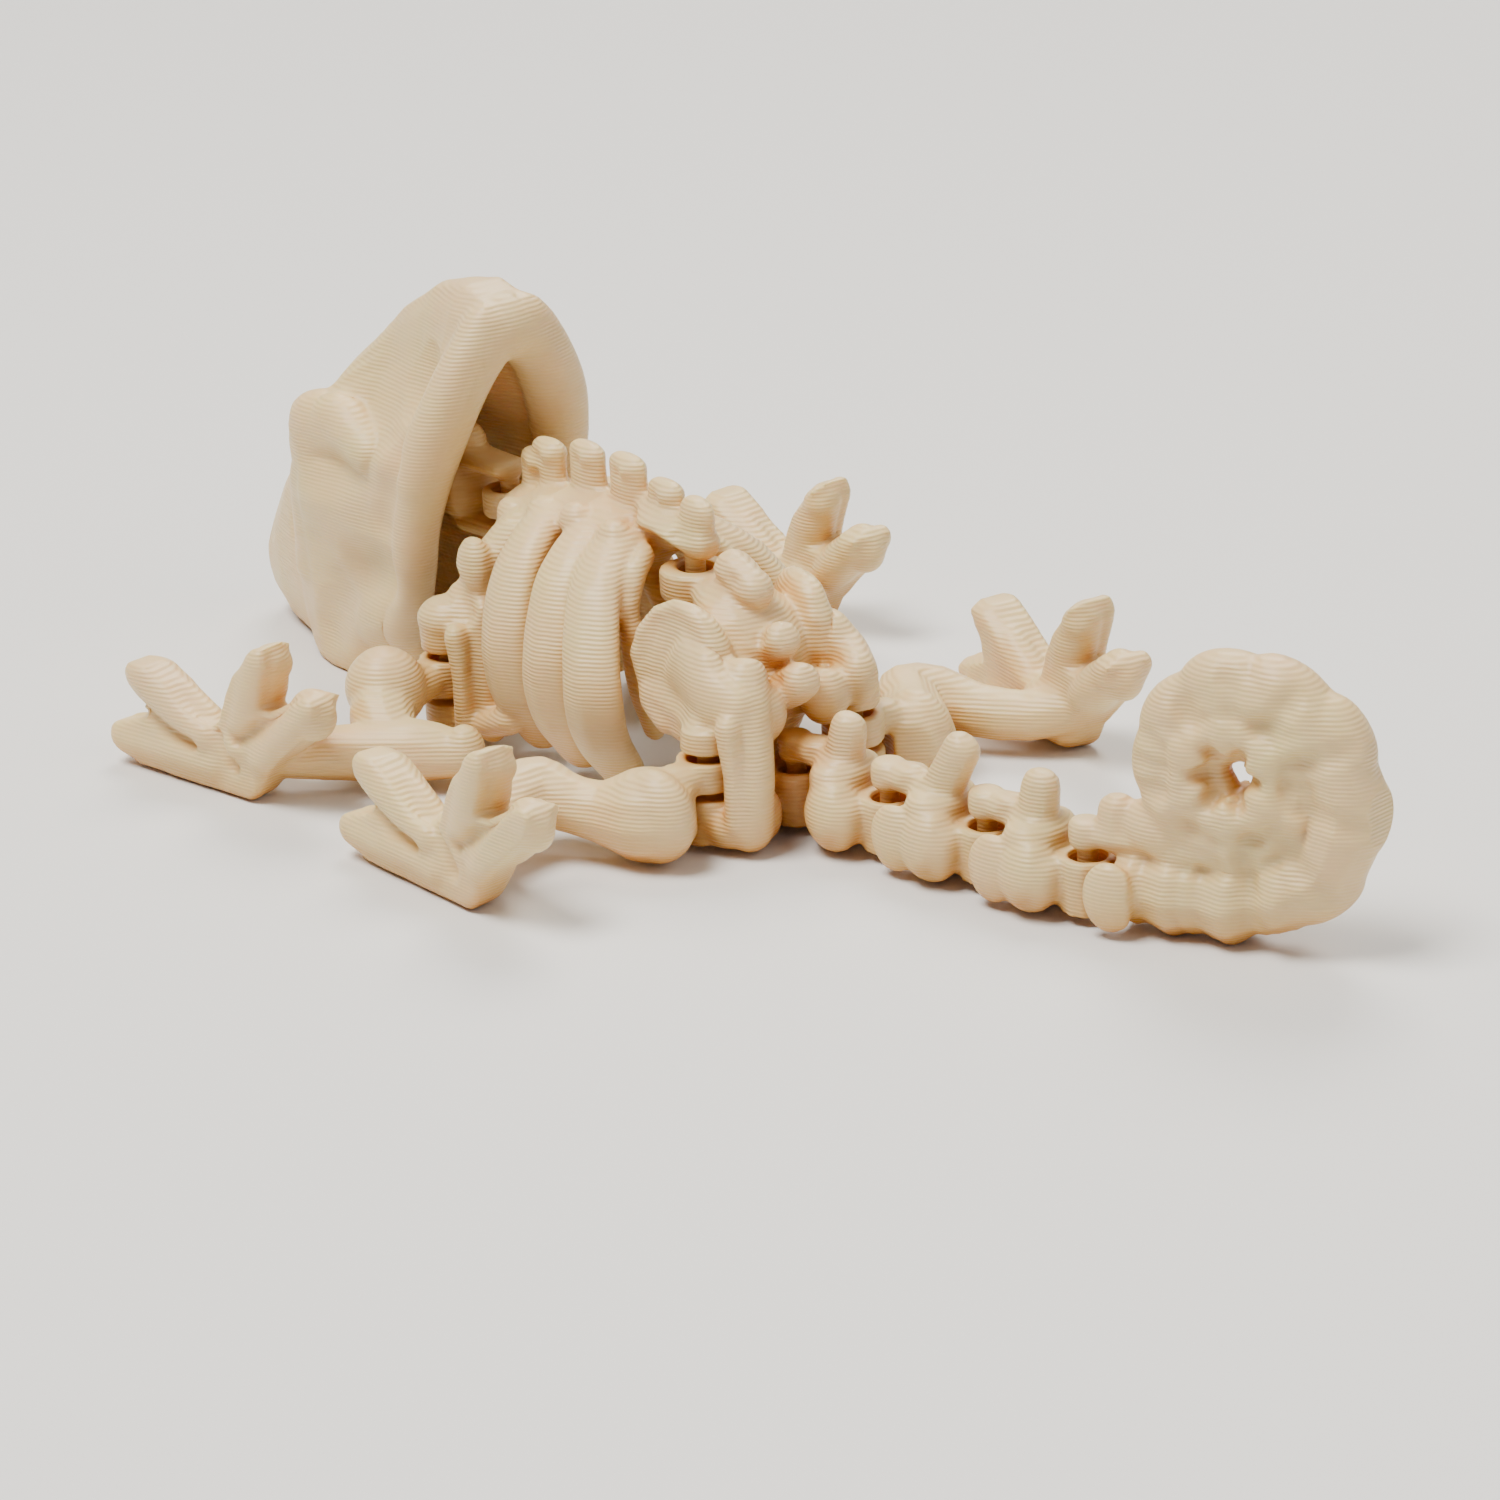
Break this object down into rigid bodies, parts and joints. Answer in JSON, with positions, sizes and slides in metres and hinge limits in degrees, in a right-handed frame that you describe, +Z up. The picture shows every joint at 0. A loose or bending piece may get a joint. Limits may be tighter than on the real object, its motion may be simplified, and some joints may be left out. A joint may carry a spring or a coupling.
{
  "type": "jointed chameleon skeleton toy",
  "caption": "Small jointed chameleon skeleton toy, printed in one go in ivory plastic, with a hollow helmeted skull, ribbed body, gripping feet and a coiled tail that swing on upright pins.",
  "frame": {"origin": "on the table, under the middle of the toy's outline seen from above", "axes": "+Z up; the tail runs along +X and the head looks along -X; the animal's left side is -Y"},
  "size_m": [0.0975, 0.0512, 0.0284],
  "materials": {
    "ivory_plastic": "semi-gloss, slightly translucent, with fine level layer lines"
  },
  "bodies": {
    "thorax": {"backbone": "ivory_plastic", "ribs_left": "ivory_plastic", "ribs_right": "ivory_plastic"},
    "skull": {"skull": "ivory_plastic"},
    "pelvis": {"pelvis": "ivory_plastic"},
    "front_leg_left": {"front_leg_left": "ivory_plastic"},
    "front_leg_right": {"front_leg_right": "ivory_plastic"},
    "hind_leg_left": {"hind_leg_left": "ivory_plastic"},
    "hind_leg_right": {"hind_leg_right": "ivory_plastic"},
    "tail_1": {"tail_1": "ivory_plastic"},
    "tail_2": {"tail_2": "ivory_plastic"},
    "tail_3": {"tail_3": "ivory_plastic"},
    "tail_coil": {"tail_coil": "ivory_plastic"}
  },
  "joints": [
    {"name": "neck", "type": "hinge", "parent": "thorax", "child": "skull", "pos_m": [-0.02135, 0.00085, 0.005], "axis": [0, 0, 1], "range_deg": [-15, 15]},
    {"name": "waist", "type": "hinge", "parent": "thorax", "child": "pelvis", "pos_m": [-0.00095, -0.00175, 0.005], "axis": [0, 0, 1], "range_deg": [-8, 8]},
    {"name": "shoulder_left", "type": "hinge", "parent": "thorax", "child": "front_leg_left", "pos_m": [-0.01885, -0.00735, 0.005], "axis": [0, 0, 1], "range_deg": [-12, 20]},
    {"name": "shoulder_right", "type": "hinge", "parent": "thorax", "child": "front_leg_right", "pos_m": [-0.01694, 0.0082, 0.005], "axis": [0, 0, -1], "range_deg": [-12, 20]},
    {"name": "hip_left", "type": "hinge", "parent": "pelvis", "child": "hind_leg_left", "pos_m": [0.00655, -0.00845, 0.005], "axis": [0, 0, 1], "range_deg": [-12, 20]},
    {"name": "hip_right", "type": "hinge", "parent": "pelvis", "child": "hind_leg_right", "pos_m": [0.00825, 0.0023, 0.005], "axis": [0, 0, -1], "range_deg": [-24, 8]},
    {"name": "tail_joint_1", "type": "hinge", "parent": "pelvis", "child": "tail_1", "pos_m": [0.00875, -0.00315, 0.005], "axis": [0, 0, 1], "range_deg": [-15, 15]},
    {"name": "tail_joint_2", "type": "hinge", "parent": "tail_1", "child": "tail_2", "pos_m": [0.01635, -0.00275, 0.005], "axis": [0, 0, 1], "range_deg": [-15, 15]},
    {"name": "tail_joint_3", "type": "hinge", "parent": "tail_2", "child": "tail_3", "pos_m": [0.02395, -0.00225, 0.005], "axis": [0, 0, 1], "range_deg": [-15, 15]},
    {"name": "tail_joint_4", "type": "hinge", "parent": "tail_3", "child": "tail_coil", "pos_m": [0.03155, -0.00185, 0.005], "axis": [0, 0, 1], "range_deg": [-15, 15]}
  ]
}
